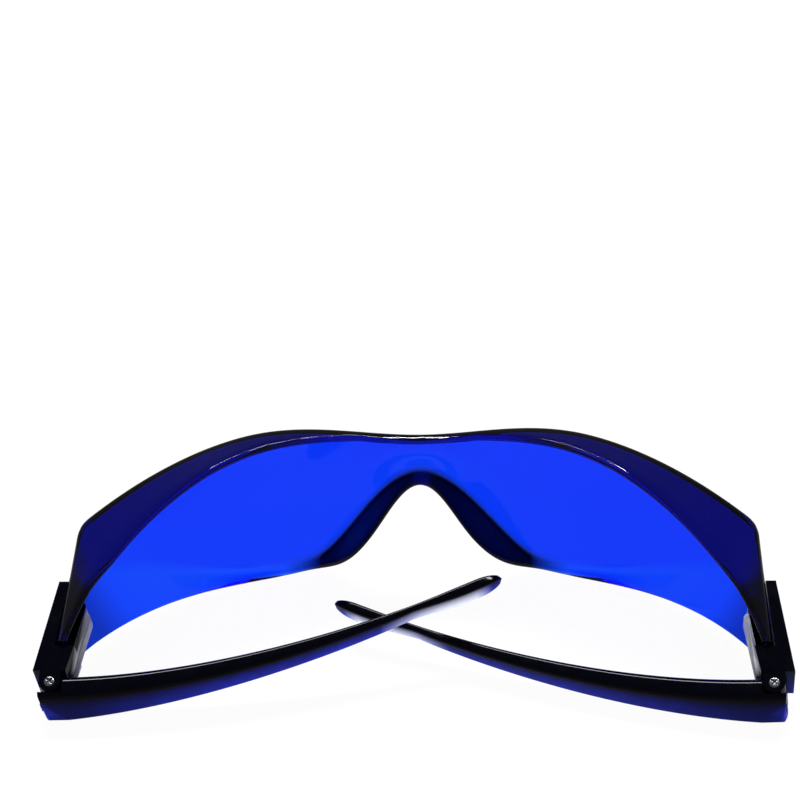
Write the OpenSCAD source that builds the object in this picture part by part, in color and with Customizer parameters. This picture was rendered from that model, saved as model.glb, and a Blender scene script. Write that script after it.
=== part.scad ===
// One-piece wrap-round tinted glasses that lie on a table with both temples folded.
// The front is drawn in its own upright frame: X across the face, Y forward from the
// hinge axes, Z up from the tops of the temples. The last step tips it onto the table.

/* [Overall] */
// Distance between the two hinge axes
hinge_span = 145.6; // [136:0.2:156]
// How far the brow edge stands in front of the hinge axes, at the nose
front_reach = 56; // [52:0.5:62]
// How far the left hinge axis leans, which lifts the folded left temple's tip
left_lean = 1.6; // [1.4:0.1:2.2]
// How far the right hinge axis leans, which drops the folded right temple's tip
right_lean = 5; // [4.4:0.1:5]

/* [Brow] */
// Width between the two sharp brow corners
corner_span = 140; // [130:0.5:145]
// How far the brow corners stand in front of the hinge axes
corner_reach = 34.8; // [31:0.2:38]
// Fullness of the brow curve seen from above (2 is a parabola)
brow_fullness = 2.4; // [2:0.05:3]
// Radius scale of the brow corners, as a run along the edge
corner_run = 0.018; // [0.01:0.002:0.03]
// Height of the brow edge over the nose
brow_mid_z = 5.6; // [3:0.2:8]
// Height of the brow edge where it is highest
brow_peak_z = 11.5; // [9:0.2:14]
// Distance from the middle to the highest point of the brow
brow_peak_x = 35; // [28:0.5:42]
// Height of the brow edge at the corners
brow_corner_z = 4; // [2:0.2:6]
// How far the brow shelf climbs towards the forehead
shelf_rise = 3.8; // [1:0.2:5]
// Roundness of the opening for the face, seen from above (2 is an ellipse)
face_round = 1.7; // [1.6:0.05:2.2]
// Gap between the brow edge and the forehead line at the nose
face_gap = 0.6; // [0.4:0.1:2]

/* [Lens] */
// Thickness of the moulded shield
wall = 1.6; // [1.2:0.1:2]
// How much the lens leans back for each unit of height
lens_lean = 0.28; // [0.2:0.01:0.34]
// Height of the lowest part of the lens
lens_low_z = -24.7; // [-30:0.5:-20]
// Distance from the middle to the lowest part of the lens
lens_low_x = 32; // [29:0.5:36]
// Height of the lens foot at the brow corners
corner_low_z = -5.8; // [-8:0.2:-4]
// How sharply the lens foot climbs towards the corners
foot_climb = 1.76; // [1.4:0.02:2.2]
// How far the lens bulges between brow and foot
lens_bulge = 0.5; // [0:0.1:1]

/* [Nose arch] */
// Height of the top of the nose arch
arch_top_z = -3.5; // [-6:0.5:-2]
// Half the width of the nose arch at its foot
arch_half = 27; // [24:0.5:29]
// Depth of the nose flange at the top of the arch
flange_mid = 2.6; // [2:0.2:5]
// Depth of the nose flange where it is deepest
flange_deep = 8.8; // [6:0.2:11]
// Distance from the middle to the deepest part of the nose flange
flange_deep_x = 11.8; // [10:0.2:14]

/* [Cheek shelf] */
// How far the cheek edge lies behind the brow edge, near the nose
cheek_set = 7.4; // [6:0.2:9]
// How far the cheek edge lies behind the brow edge, at the wing
cheek_set_end = -0.4; // [-1:0.1:1]
// How the cheek edge leaves the nose side (1 is even)
cheek_ease = 1.17; // [1:0.01:1.4]
// How far the cheek edge drops below the lens foot
cheek_drop = 0.9; // [0.4:0.1:2]
// Height of the cheek edge at the wing
cheek_end_z = -9; // [-11:0.2:-8.8]
// Bearing from straight ahead at which the cheek edge starts to climb, in degrees
cheek_from = 32; // [28:1:36]
// Bearing from straight ahead at which the cheek edge reaches the wing, in degrees
cheek_to = 83; // [80:1:85]

/* [Wing] */
// How far the wing lies inside the hinge axis at its end
wing_inset = 0.2; // [0:0.1:1]
// How far the end of the wing stands in front of the hinge axis
wing_end_y = 8.6; // [8:0.1:10]
// Length of the flat tab at the end of the wing
tab_len = 11.4; // [10:0.2:13]
// Height of the top of the wing at its end
wing_top_z = 1.5; // [1.2:0.1:2.2]
// Height of the foot of the wing's tab
wing_low_z = -7; // [-7.4:0.1:-6.6]

/* [End pieces] */
// Height of the end pieces and of the temples at the hinge
block_h = 9.2; // [8.6:0.1:10]
// Height of the top face of the end pieces
block_top_z = 0.6; // [0.2:0.1:1]
// How far the outer plate reaches in front of the hinge axis
plate_reach = 23.2; // [20:0.2:26]
// Thickness of the outer plate at its front end
plate_t = 2.1; // [1.8:0.1:3]
// How far the inner plate reaches in front of the hinge axis
jaw_reach = 19.8; // [16:0.2:20]
// Thickness of the inner plate
jaw_t = 2.2; // [1.8:0.1:2.8]
// How far the lower ledge of the inner plate stands proud
ledge_t = 0.9; // [0.5:0.1:1.2]
// Gap between the wing's tab and the plates on each side of it
tab_gap = 0.15; // [0.1:0.01:0.2]
// Gap between the end of the wing and the end piece
wing_end_gap = 0.3; // [0.1:0.05:0.5]

/* [Hinges] */
// Radius of the hinge lugs and of the temple's tongue
lug_r = 2.2; // [2:0.05:2.3]
// Height of the temple's tongue between the lugs
tongue_h = 2.8; // [2.4:0.1:3.2]
// Gap between the tongue and each lug
lug_gap = 0.1; // [0.05:0.01:0.15]
// Gap left between the temple's end and the end piece when open
stop_gap = 0.2; // [0.15:0.01:0.3]
// Radius of the screw's shank
screw_r = 0.7; // [0.5:0.05:0.8]
// Radial running clearance of the screw in the lug and tongue
screw_fit = 0.06; // [0.02:0.01:0.1]
// Radius of the screw head
head_r = 1.18; // [1:0.02:1.4]
// Height of the screw head
head_h = 0.8; // [0.6:0.05:1]

/* [Temples] */
// Length of a temple from its hinge axis to its tip
temple_len = 91.2; // [88:0.2:100]
// How far along a temple its bend towards the tip is centred
temple_bend_d = 58; // [52:0.5:64]
// How far a folded temple's tip lies from the hinge line
temple_bow = 26; // [22:0.5:28]
// Thickness of a temple at the hinge
temple_root_t = 5.2; // [5:0.1:5.4]
// Thickness of a temple at its neck
temple_neck_t = 1.4; // [1.2:0.05:1.9]
// Height of a temple at its neck
temple_neck_h = 3.8; // [3.2:0.1:4.4]
// Distance from the hinge axis to the neck
temple_neck_d = 72; // [66:0.5:76]
// Thickness of a temple's paddle tip
paddle_t = 2.2; // [1.8:0.05:2.5]
// Height of a temple's paddle tip
paddle_h = 4.8; // [4.2:0.1:5.6]
// Length of a temple past its hinge axis
butt_len = 2.25; // [2.2:0.05:2.8]
// Rounding of the temple's end behind the hinge, seen from above and from behind
heel_round = 2.2; // [0.4:0.1:2.2]
// How far the outer face of a temple lies from the hinge axis
outer_off = 3.7; // [3.5:0.05:3.8]
// How far the foot of a temple's outer face stands out past its top
outer_lean = 1.3; // [0.4:0.1:1.5]

/* [Hidden] */
$fn = 48;
lens_blue = [0.02, 0.12, 0.9, 0.6];
deep_blue = [0.02, 0.03, 0.25, 0.9];
hinge_x = hinge_span / 2;
corner_x = corner_span / 2;
wing_x = hinge_x - wing_inset;
half_wall = wall / 2;

// Blends
function mix(a, b, t) = a + (b - a) * t;
function clamp01(t) = min(1, max(0, t));
function ease(t) = (1 - cos(180 * clamp01(t))) / 2;
function unit(v) = v / norm(v);
function bezier2(a, b, c, t) = mix(mix(a, b, t), mix(b, c, t), t);
function bezier3(a, b, c, d, t) = mix(bezier2(a, b, c, t), bezier2(b, c, d, t), t);

// The opening for the face, a rounded curve seen from above. s runs from 0 in the middle.
face_half = hinge_x - 0.1;
face_reach = front_reach - face_gap;
corner_s = 0.84;
function face_y(s) = face_reach * pow(1 - pow(s, face_round), 1 / face_round);
function face_at(s) = [face_half * s, face_y(s)];
end_s = pow(1 - pow(wing_end_y / face_reach, face_round), 1 / face_round);

// The brow edge seen from above: a full curve to the corner, then a straight wing
function brow_front(s) = let (x = face_half * s + (corner_x - face_half * corner_s) * pow(s / corner_s, 4))
    [x, front_reach - (front_reach - corner_reach) * pow(x / corner_x, brow_fullness)];
function wing_share(s) = (face_y(corner_s) - face_y(s)) / (face_y(corner_s) - wing_end_y);
function brow_side(s) = mix([corner_x, corner_reach], [wing_x, wing_end_y], wing_share(s));
function brow_raw(s) = s <= corner_s ? brow_front(s) : brow_side(s);
corner_a = corner_s - corner_run;
corner_b = corner_s + corner_run;
function brow_at(s) = abs(s - corner_s) >= corner_run ? brow_raw(s)
    : bezier2(brow_raw(corner_a), brow_raw(corner_s), brow_raw(corner_b), (s - corner_a) / (2 * corner_run));

// Heights of the brow edge and of the lens foot
function brow_z(s) = let (x = brow_at(s)[0])
    s > corner_s ? mix(brow_corner_z, wing_top_z, wing_share(s))
    : x < brow_peak_x ? mix(brow_mid_z, brow_peak_z, ease(x / brow_peak_x))
    : mix(brow_peak_z, brow_corner_z, pow(clamp01((x - brow_peak_x) / (corner_x - brow_peak_x)), 1.7));
tab_start_y = wing_end_y + tab_len;
function tab_share(s) = s <= corner_s ? 0
    : clamp01((corner_reach - brow_side(s)[1]) / (corner_reach - tab_start_y));
function foot_z(s) = let (x = brow_at(s)[0])
    s > corner_s ? mix(corner_low_z, wing_low_z, tab_share(s))
    : x < lens_low_x ? mix(arch_top_z, lens_low_z, ease(x / arch_half))
    : mix(lens_low_z, corner_low_z, pow(clamp01((x - lens_low_x) / (corner_x - lens_low_x)), foot_climb));

// Depths behind the brow edge, measured level towards the face
shelf_min = half_wall + 1.1;
lip_min = 1.2;
rise_run = 8;
// The brow bend is drawn a little full, so that its rounding meets the brow edge's line
brow_full = 0.35;
function to_face(s) = face_at(s) - brow_at(s);
function inward(s) = let (v = to_face(s), n = norm(v), w = s < 0.5 ? min(1, n / 3) : 1)
    unit(v / n * w + [0, -1] * (1 - w));
function shelf_depth(s) = max(norm(to_face(s)), shelf_min);
function foot_depth(s) = lens_lean * (1 - tab_share(s)) * (brow_z(s) - foot_z(s)) + wall;
function bearing(p) = atan2(p[0], p[1]);
function cheek_run(s) = clamp01((bearing(face_at(s)) - cheek_from) / (cheek_to - cheek_from));
function cheek_share(s) = pow(cheek_run(s), cheek_ease);
function flange_depth(x) = x < flange_deep_x ? mix(flange_mid, flange_deep, ease(x / flange_deep_x))
    : mix(flange_deep, lip_min, ease((x - flange_deep_x) / (arch_half - flange_deep_x)));
function lip_depth(s) = let (x = brow_at(s)[0])
    x < arch_half ? flange_depth(x)
    : max(lip_min, shelf_depth(s) + mix(cheek_set, cheek_set_end, cheek_share(s)) - foot_depth(s));
function flange_run(s) = clamp01((brow_at(s)[0] - flange_deep_x) / (arch_half - flange_deep_x));
function lip_z(s) = cheek_share(s) <= 0 ? foot_z(s) - cheek_drop * flange_run(s)
    : mix(lens_low_z - cheek_drop, cheek_end_z, cheek_share(s));

// Middle line of the shield's section: shelf, lens, lip, with rounded bends
bend_steps = 3;
lens_steps = 4;
function bend(p, q, r, reach) = let (a = min(reach, 0.9 * norm(p - q)), b = min(reach, 0.45 * norm(r - q)))
    [for (i = [0:bend_steps]) bezier2(q + a * unit(p - q), q, q + b * unit(r - q), i / bend_steps)];
function middle_line(s) = let (
        full = brow_full * (1 - clamp01(2.5 * wing_share(s))),
        top = [half_wall - full, brow_z(s) - half_wall + full],
        shelf = [shelf_depth(s), brow_z(s) + shelf_rise * min(1, norm(to_face(s)) / rise_run) - half_wall],
        foot = [foot_depth(s) - half_wall, foot_z(s) - half_wall],
        lip = [foot_depth(s) + lip_depth(s) - half_wall / 2, lip_z(s)],
        upper = bend(shelf, top, foot, 1.2),
        lower = bend(lip, foot, top, mix(2.2, 1.1, tab_share(s))),
        a = upper[bend_steps],
        b = lower[bend_steps],
        bulge = lens_bulge * (1 - tab_share(s)))
    concat([shelf], upper,
        [for (i = [1:lens_steps - 1]) mix(a, b, i / lens_steps) - [bulge * sin(180 * i / lens_steps), 0]],
        [for (i = [bend_steps:-1:0]) lower[i]], [lip]);
function side_step(m, i) = let (v = unit(m[min(i + 1, len(m) - 1)] - m[max(i - 1, 0)]))
    [v[1], -v[0]] * half_wall;
function section(s) = let (m = middle_line(s), n = len(m),
        start = unit(m[0] - m[1]) * half_wall * 0.5,
        end = unit(m[n - 1] - m[n - 2]) * half_wall * 0.5)
    concat([m[0] + start + side_step(m, 0) * 0.5],
        [for (i = [0:n - 1]) m[i] + side_step(m, i)],
        [m[n - 1] + end + side_step(m, n - 1) * 0.5, m[n - 1] + end - side_step(m, n - 1) * 0.5],
        [for (i = [n - 1:-1:0]) m[i] - side_step(m, i)],
        [m[0] + start - side_step(m, 0) * 0.5]);
function placed_section(s, side) = let (t = brow_at(s), e = inward(s))
    [for (p = section(s)) [side * (t[0] + e[0] * p[0]), t[1] + e[1] * p[0], p[1]]];

// Stations along one half of the shield, from the middle to the end of the wing
front_steps = 26;
corner_steps = 4;
wing_steps = 8;
stations = concat(
    [for (i = [0:front_steps - 1]) corner_a * i / front_steps],
    [for (i = [0:corner_steps - 1]) mix(corner_a, corner_b, i / corner_steps)],
    [for (i = [0:wing_steps]) mix(corner_b, end_s, 1 - pow(1 - i / wing_steps, 1.6))]);
half_rings = [for (s = stations) placed_section(s, 1)];
rings = concat([for (i = [len(stations) - 1:-1:1]) placed_section(stations[i], -1)], half_rings);

// Skin over a row of closed rings that all have the same number of points
module skin(rows) {
    n = len(rows[0]);
    last = len(rows) - 1;
    points = [for (row = rows) each row];
    sides = [for (r = [0:last - 1], i = [0:n - 1])
        let (j = (i + 1) % n, a = r * n + i, b = r * n + j, c = a + n, d = b + n)
        each [[a, b, d], [a, d, c]]];
    caps = [[for (i = [n - 1:-1:0]) i], [for (i = [0:n - 1]) last * n + i]];
    polyhedron(points = points, faces = concat(sides, caps), convexity = 10);
}

// The folded glasses lie on the lens's two lobes and on the hinge ends of the temples
hinge_z = block_top_z - block_h / 2;
arm_start = lug_r + 0.25;
arm_inner_y = temple_root_t - outer_off;
heel_ring = [for (q = arm_ring(0)) q - [arm_start + butt_len - heel_round, 0, 0]];
root_rings = concat([heel_ring], [for (u = [0:0.03:0.3]) arm_ring(u)]);
heels = [for (a = [-left_lean, right_lean], ring = root_rings, q = ring)
    [q[1], hinge_z + q[2] * cos(a) - q[0] * sin(a)]];
lobes = [for (ring = half_rings, p = ring) if (p[2] < lens_low_z) p];
rest_tilt = max([for (p = lobes) min([for (q = heels) atan2(q[1] - p[2], p[1] - q[0])])]);
function tipped_y(y, z) = y * cos(rest_tilt) - z * sin(rest_tilt);
front_y = max([for (ring = half_rings, p = ring) tipped_y(p[1], p[2])]);
rear_y = min([for (q = heels) tipped_y(q[0], q[1])]);
rest_lift = -min([for (q = heels) q[0] * sin(rest_tilt) + q[1] * cos(rest_tilt)]);
module on_table() {
    translate([0, -(front_y + rear_y) / 2, rest_lift]) rotate([rest_tilt, 0, 0]) children();
}

// The left side is drawn, and the right side is its mirror image but for the hinge lean
module on_side(side) {
    on_table() if (side < 0) children(); else mirror([1, 0, 0]) children();
}
// A frame on the hinge axis of one side, with Z along the axis
module at_hinge(side) {
    lean = side < 0 ? -left_lean : right_lean;
    translate([-hinge_x, 0, hinge_z]) rotate([0, lean, 0]) children();
}

// Plan lines of an end piece, all on the left side
wing_slope = (wing_x - corner_x) / (corner_reach - wing_end_y);
function wing_line(y) = wing_x - wing_slope * (y - wing_end_y);
block_rear_y = butt_len + stop_gap;
body_front_y = wing_end_y - wing_end_gap;
body_out = outer_off + 0.1;
body_in = 2.9;
bevel = 0.8;
function plate_in(y) = -(wing_line(y) + tab_gap);
function jaw_out(y) = -(wing_line(y) - wall - tab_gap);
module body_plan() {
    polygon([[-hinge_x - body_out, block_rear_y], [-hinge_x + body_in, block_rear_y],
        [jaw_out(body_front_y) + jaw_t, body_front_y], [plate_in(body_front_y) - plate_t, body_front_y]]);
}
module plate_plan() {
    polygon([[-hinge_x - body_out, block_rear_y], [-hinge_x, block_rear_y],
        [plate_in(body_front_y), body_front_y],
        [plate_in(plate_reach), plate_reach], [plate_in(plate_reach) - plate_t, plate_reach]]);
}
module jaw_plan(proud) {
    front = jaw_reach - 2 * proud;
    polygon([[jaw_out(block_rear_y + 1), block_rear_y + 1], [jaw_out(front), front],
        [jaw_out(front) + jaw_t - bevel + proud, front], [jaw_out(front) + jaw_t + proud, front - 2 * bevel],
        [-hinge_x + body_in + proud, block_rear_y + 1]]);
}
jaw_top_z = wing_top_z - wall - 0.6;
jaw_low_z = wing_low_z + 0.8;
jaw_h = jaw_top_z - jaw_low_z;
ledge_h = jaw_h * 0.48;
groove = 0.35;
lug_h = (block_h - tongue_h) / 2 - lug_gap;
module lug_plan() {
    circle(lug_r);
    translate([-lug_r, 0]) square([2 * lug_r, block_rear_y + 0.6]);
}
module end_piece(side) {
    color(deep_blue) on_side(side) difference() {
        union() {
            translate([0, 0, block_top_z - block_h]) linear_extrude(block_h) body_plan();
            translate([0, 0, block_top_z - block_h]) linear_extrude(block_h) plate_plan();
            translate([0, 0, jaw_low_z]) linear_extrude(jaw_h) jaw_plan(0);
            translate([0, 0, jaw_low_z]) linear_extrude(ledge_h) jaw_plan(ledge_t);
            at_hinge(side) for (z = [-block_h / 2, block_h / 2 - lug_h]) {
                translate([0, 0, z]) linear_extrude(lug_h) lug_plan();
            }
        }
        at_hinge(side) {
            translate([0, 0, -block_h]) cylinder(r = screw_r + 0.02, h = 2 * block_h);
            cylinder(r = screw_r + screw_fit, h = block_h);
            translate([0, 0, block_h / 2 - head_h + 0.15]) cylinder(r = head_r + screw_fit, h = head_h);
        }
        translate([jaw_out(jaw_reach) + jaw_t - groove, jaw_reach - 12, jaw_low_z + ledge_h])
            rotate([0, 0, -atan(wing_slope)]) cube([2 * groove, 13, groove]);
    }
}

// Temple: a swept arm, an outer cheek behind the barrel and a tongue between the lugs
cheek_gap = 0.15;
function arm_edge(u) = bezier3([arm_start, arm_inner_y], [arm_start + 24.5, arm_inner_y + 0.5],
    [temple_bend_d, temple_bow * 0.39], [temple_len - 1, temple_bow], u);
function arm_way(u) = unit(arm_edge(min(1, u + 0.01)) - arm_edge(max(0, u - 0.01)));
function past_neck(d) = ease((d - temple_neck_d) / (temple_len - 8 - temple_neck_d));
function arm_h(d) = d < temple_neck_d ? mix(block_h, temple_neck_h, clamp01(d / temple_neck_d))
    : mix(temple_neck_h, paddle_h, past_neck(d));
function arm_t(d) = d < temple_neck_d
    ? mix(temple_neck_t, temple_root_t, pow(1 - clamp01(d / temple_neck_d), 0.8))
    : mix(temple_neck_t, paddle_t, past_neck(d));
function tip_share(u) = u < 0.95 ? 1 : sqrt(max(0.04, 1 - pow((u - 0.95) / 0.05, 2)));
function arm_lean(d) = outer_lean * pow(1 - clamp01(d / temple_neck_d), 2);
// Rounded four-sided section: across is from the inner face outwards, up is along the hinge axis
function corner_arc(c, r, from) = [for (a = [0:22.5:90]) c + r * [cos(from + a), sin(from + a)]];
function arm_profile(t, h, lean) = let (r = min(0.32 * t, 0.28 * h), b = t + lean)
    concat(corner_arc([t - r, h / 2 - r], r, 0), corner_arc([r, h / 2 - r], r, 90),
        corner_arc([r, -h / 2 + r], r, 180), corner_arc([b - r, -h / 2 + r], r, 270));
function arm_ring(u) = let (p = arm_edge(u), w = arm_way(u), k = tip_share(u), t = arm_t(p[0]))
    [for (q = arm_profile(t * k, arm_h(p[0]) * k, arm_lean(p[0]) * k))
        let (x = q[0] + t * (1 - k) / 2) [p[0] + w[1] * x, p[1] - w[0] * x, q[1]]];
arm_steps = 22;
arm_us = concat([for (i = [0:arm_steps - 1]) 0.95 * i / arm_steps], [0.95, 0.965, 0.98, 0.99, 0.997, 1]);
// Behind the hinge the arm runs on as a cheek, cut back to clear the lugs, with its end rounded off
butt_ring = [for (q = arm_ring(0)) q - [arm_start + butt_len + 0.3, 0, 0]];
function round_end(base) = [[temple_len + 9, base], [temple_len + 9, temple_len], [-butt_len, temple_len],
    for (a = [180:15:270]) [heel_round - butt_len, base + heel_round] + heel_round * [cos(a), sin(a)]];
module arm() {
    difference() {
        intersection() {
            skin(concat([butt_ring], [for (u = arm_us) arm_ring(u)]));
            translate([0, 0, -block_h]) linear_extrude(2 * block_h)
                polygon(round_end(arm_inner_y - arm_t(arm_start) - arm_lean(arm_start) - 0.05));
            translate([0, temple_len, 0]) rotate([90, 0, 0]) linear_extrude(2 * temple_len)
                polygon(round_end(-arm_h(arm_start) / 2 - 0.05));
        }
        translate([-block_h, -lug_r - cheek_gap, -block_h])
            cube([block_h + arm_start + 0.1, 2 * block_h, 2 * block_h]);
    }
}
module tongue_plan() {
    circle(lug_r);
    translate([-lug_r, -outer_off]) square([lug_r + arm_start + 0.4, outer_off]);
    translate([0, -outer_off]) square([arm_start + 0.4, outer_off + arm_inner_y - 0.3]);
}
module temple(side) {
    color(deep_blue) on_side(side) at_hinge(side) difference() {
        union() {
            arm();
            translate([0, 0, -tongue_h / 2]) linear_extrude(tongue_h) tongue_plan();
        }
        translate([0, 0, -block_h]) cylinder(r = screw_r + screw_fit, h = 2 * block_h);
    }
}

// Hinge screw: a low round head with a cross recess, and a plain shank
recess_w = 0.36;
recess_depth = 0.35;
module hinge_screw(side) {
    head_z = block_h / 2 - head_h + 0.15;
    color("silver") on_side(side) at_hinge(side) difference() {
        union() {
            translate([0, 0, head_z]) cylinder(r = head_r, h = head_h);
            translate([0, 0, -block_h / 2 + 0.3]) cylinder(r = screw_r, h = block_h - head_h);
        }
        for (turn = [45, 135]) translate([0, 0, head_z + head_h]) rotate([0, 0, turn])
            cube([1.5 * head_r, recess_w, 2 * recess_depth], center = true);
    }
}
module front_shield() {
    color(lens_blue) on_table() skin(rings);
}

front_shield();
end_piece(-1);  // left_end_piece
end_piece(1);  // right_end_piece
temple(-1);  // left_temple
temple(1);  // right_temple
hinge_screw(-1);  // left_hinge_screw
hinge_screw(1);  // right_hinge_screw
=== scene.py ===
"""Blue tinted wrap-round glasses that lie on a pale table with both temples folded."""

import logging
import math
from collections.abc import Callable
from dataclasses import dataclass
from enum import Enum
from functools import partial

import bmesh
import bpy
import numpy as np
from mathutils import Matrix, Vector


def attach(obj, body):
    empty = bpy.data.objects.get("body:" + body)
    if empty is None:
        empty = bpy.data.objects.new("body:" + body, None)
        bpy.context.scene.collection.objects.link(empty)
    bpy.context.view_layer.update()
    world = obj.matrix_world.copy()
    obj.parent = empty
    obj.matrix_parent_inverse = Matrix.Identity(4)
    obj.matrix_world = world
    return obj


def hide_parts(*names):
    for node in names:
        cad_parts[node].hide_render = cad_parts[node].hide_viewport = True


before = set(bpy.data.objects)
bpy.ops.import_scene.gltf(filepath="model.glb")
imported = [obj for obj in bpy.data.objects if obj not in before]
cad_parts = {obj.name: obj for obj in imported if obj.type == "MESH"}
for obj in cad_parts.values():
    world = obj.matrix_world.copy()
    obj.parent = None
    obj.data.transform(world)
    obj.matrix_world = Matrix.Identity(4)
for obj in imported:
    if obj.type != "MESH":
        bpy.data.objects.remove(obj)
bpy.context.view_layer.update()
MM = 0.001
# Past the end of every piece, in millimetres, for the solids that cut
FAR = 99.0
# The glasses lie tipped about X, then moved up and back by so many millimetres
REST_TILT = math.radians(21.7186)
REST_LIFT = 9.43428
REST_SHIFT = -24.1593
log = logging.getLogger("glasses")


class Side(Enum):
    """The wearer's two sides, as the drawing sees them."""

    LEFT = -1
    RIGHT = 1

    @property
    def word(self) -> str:
        """The side's name as pieces and bodies use it."""
        return self.name.lower()


# Small helpers
def mix(a: float, b: float, t: float) -> float:
    """The value a share t of the way from a to b."""
    return a + (b - a) * t


def clamp01(t: float) -> float:
    """t held between 0 and 1."""
    return min(1.0, max(0.0, t))


def ease(t: float) -> float:
    """A smooth step from 0 to 1."""
    return (1 - math.cos(math.pi * clamp01(t))) / 2


def bezier(points: list, t: float) -> np.ndarray:
    """A point of a Bezier curve.

    Args:
        points: The control points.
        t: The place along the curve, 0 to 1.

    Returns:
        The point.
    """
    pts = [np.asarray(p, float) for p in points]
    while len(pts) > 1:
        pts = [a + (b - a) * t for a, b in zip(pts, pts[1:])]
    return pts[0]


def unit(v: np.ndarray) -> np.ndarray:
    """The vector at length 1."""
    return v / np.linalg.norm(v)


def on_table(points: np.ndarray) -> np.ndarray:
    """Tips points of the upright frame onto the table.

    Args:
        points: Points in millimetres, one a row.

    Returns:
        The same points in metres, as the glasses lie.
    """
    c, s = math.cos(REST_TILT), math.sin(REST_TILT)
    x, y, z = points[:, 0], points[:, 1], points[:, 2]
    return np.stack([x, y * c - z * s + REST_SHIFT, y * s + z * c + REST_LIFT], 1) * MM


def skin(rows: list) -> tuple:
    """Closes a row of rings that have the same number of points.

    Args:
        rows: The rings, each an array of points.

    Returns:
        The vertices and the faces.
    """
    n, last = len(rows[0]), len(rows) - 1
    faces = [list(range(n - 1, -1, -1)), [last * n + i for i in range(n)]]
    for r in range(last):
        for i in range(n):
            j = (i + 1) % n
            faces.append([r * n + i, r * n + j, (r + 1) * n + j, (r + 1) * n + i])
    return np.vstack(rows), faces


def face_outwards(mesh: bpy.types.Mesh) -> None:
    """Turns a closed mesh's faces outwards."""
    bm = bmesh.new()
    bm.from_mesh(mesh)
    bmesh.ops.recalc_face_normals(bm, faces=bm.faces)
    bm.to_mesh(mesh)
    bm.free()


def make_object(name: str, points: np.ndarray, faces: list) -> bpy.types.Object:
    """Makes a mesh object at the origin.

    Args:
        name: The piece's name.
        points: Its vertices.
        faces: Its faces, as lists of vertex numbers.

    Returns:
        The object, with its faces turned outwards.
    """
    mesh = bpy.data.meshes.new(name)
    mesh.from_pydata([tuple(p) for p in points], [], faces)
    face_outwards(mesh)
    obj = bpy.data.objects.new(name, mesh)
    bpy.context.scene.collection.objects.link(obj)
    return obj


def points_of(obj: bpy.types.Object) -> np.ndarray:
    """A piece's vertices, one a row."""
    flat = np.empty(len(obj.data.vertices) * 3)
    obj.data.vertices.foreach_get("co", flat)
    return flat.reshape(-1, 3)


def move_points(obj: bpy.types.Object, place: Callable[[np.ndarray], np.ndarray]) -> None:
    """Moves a piece's vertices by a function of all its points, and turns its faces outwards."""
    obj.data.vertices.foreach_set("co", place(points_of(obj)).ravel())
    face_outwards(obj.data)


def store(obj: bpy.types.Object, name: str, values: np.ndarray) -> None:
    """Stores a number for each point of a piece, which its material reads."""
    layer = obj.data.attributes.new(name, "FLOAT", "POINT")
    layer.data.foreach_set("value", values.astype(np.float32))


def arc(radius: float, start: float, stop: float, count: int, centre: tuple = (0.0, 0.0)) -> list:
    """Points round an arc, its two ends included.

    Args:
        radius: The arc's radius.
        start: The angle of its first point, in degrees.
        stop: The angle of its last point, in degrees.
        count: How many points it has.
        centre: Its centre.

    Returns:
        The points, as pairs.
    """
    return [(centre[0] + radius * math.cos(a), centre[1] + radius * math.sin(a))
            for a in np.radians(np.linspace(start, stop, count))]


def circle(radius: float, count: int = 48) -> list:
    """A circle's outline."""
    return arc(radius, 0, 360, count + 1)[:-1]


def prism(plan: list, low: float, high: float) -> bpy.types.Object:
    """An upright solid with a flat outline, in millimetres."""
    n = len(plan)
    points = np.array([(x, y, low) for x, y in plan] + [(x, y, high) for x, y in plan])
    faces = [list(range(n - 1, -1, -1)), list(range(n, 2 * n))]
    faces += [[i, (i + 1) % n, n + (i + 1) % n, n + i] for i in range(n)]
    return make_object("part", points, faces)


def settle(obj: bpy.types.Object) -> None:
    """Makes an object's modifiers part of its mesh."""
    graph = bpy.context.evaluated_depsgraph_get()
    mesh = bpy.data.meshes.new_from_object(obj.evaluated_get(graph))
    obj.modifiers.clear()
    obj.data = mesh


def combine(base: bpy.types.Object, others: list, how: str) -> bpy.types.Object:
    """Changes a solid by others.

    Args:
        base: The solid that is kept.
        others: The solids that are used up.
        how: UNION, DIFFERENCE or INTERSECT.

    Returns:
        The base.
    """
    for other in others:
        mod = base.modifiers.new("solid", "BOOLEAN")
        mod.operation, mod.solver, mod.object = how, "EXACT", other
        settle(base)
        bpy.data.objects.remove(other)
    return base


def bevel_edges(obj: bpy.types.Object, width: float, angle: float = 40) -> None:
    """Rounds an object's sharp edges, as the mould does, in the object's own unit."""
    mod = obj.modifiers.new("round", "BEVEL")
    mod.width, mod.segments, mod.limit_method = width, 3, "ANGLE"
    mod.angle_limit = math.radians(angle)
    settle(obj)


def linear(colour: str) -> tuple:
    """An sRGB hex colour as linear red, green, blue and alpha."""
    parts = [int(colour[i:i + 2], 16) / 255 for i in (1, 3, 5)]
    return tuple(p / 12.92 if p <= 0.04045 else ((p + 0.055) / 1.055) ** 2.4
                 for p in parts) + (1.0,)


def add_node(tree: bpy.types.NodeTree, kind: str, inputs: dict | None = None,
             **settings) -> bpy.types.Node:
    """Adds a node with its settings, and its inputs as values or links.

    Args:
        tree: The tree that takes the node.
        kind: The node's type.
        inputs: Socket name or number to a value, to the socket that feeds it, or to a node
            whose first output feeds it.
        **settings: The node's own settings.

    Returns:
        The node.
    """
    node = tree.nodes.new(kind)
    for key, value in settings.items():
        setattr(node, key, value)
    for key, value in (inputs or {}).items():
        if isinstance(value, bpy.types.Node):
            value = value.outputs[0]
        if isinstance(value, bpy.types.NodeSocket):
            tree.links.new(value, node.inputs[key])
        else:
            node.inputs[key].default_value = value
    return node


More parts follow.
